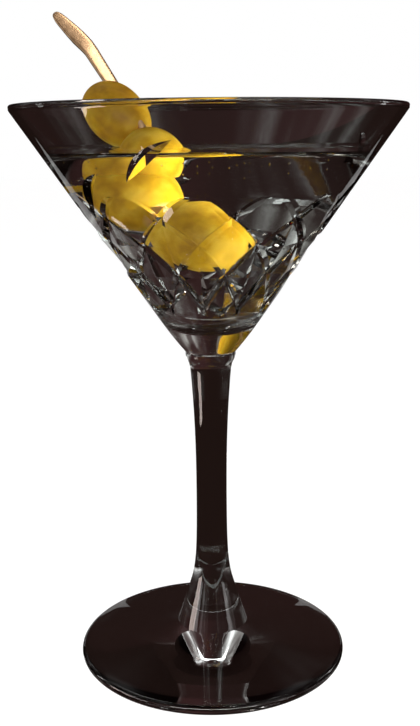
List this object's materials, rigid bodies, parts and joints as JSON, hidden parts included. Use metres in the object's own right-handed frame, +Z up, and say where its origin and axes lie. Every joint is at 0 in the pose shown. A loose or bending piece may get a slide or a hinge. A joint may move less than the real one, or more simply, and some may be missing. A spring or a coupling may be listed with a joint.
{
  "type": "cocktail with olives in a stemmed glass",
  "caption": "Clear cocktail in a stemmed, V-shaped glass with a diamond-cut bowl, garnished with golden olives on a gold pick.",
  "frame": {"origin": "under the centre of the glass's foot, on the surface it stands on", "axes": "+Z up along the stem, -Y towards the front of the glass, where the pick's point is; the pick leans back and to the left, towards +Y and -X"},
  "size_m": [0.116, 0.116, 0.2043],
  "materials": {
    "clear_glass": "polished, with mitred and polished cuts",
    "clear_drink": "still, clear liquid",
    "golden_olive": "wet, waxy fruit skin",
    "gold_metal": "satin gold plating"
  },
  "bodies": {
    "root": {"glass": "clear_glass", "drink": "clear_drink", "olive_lower": "golden_olive", "olive_middle": "golden_olive", "olive_upper": "golden_olive", "pick": "gold_metal"}
  },
  "joints": []
}
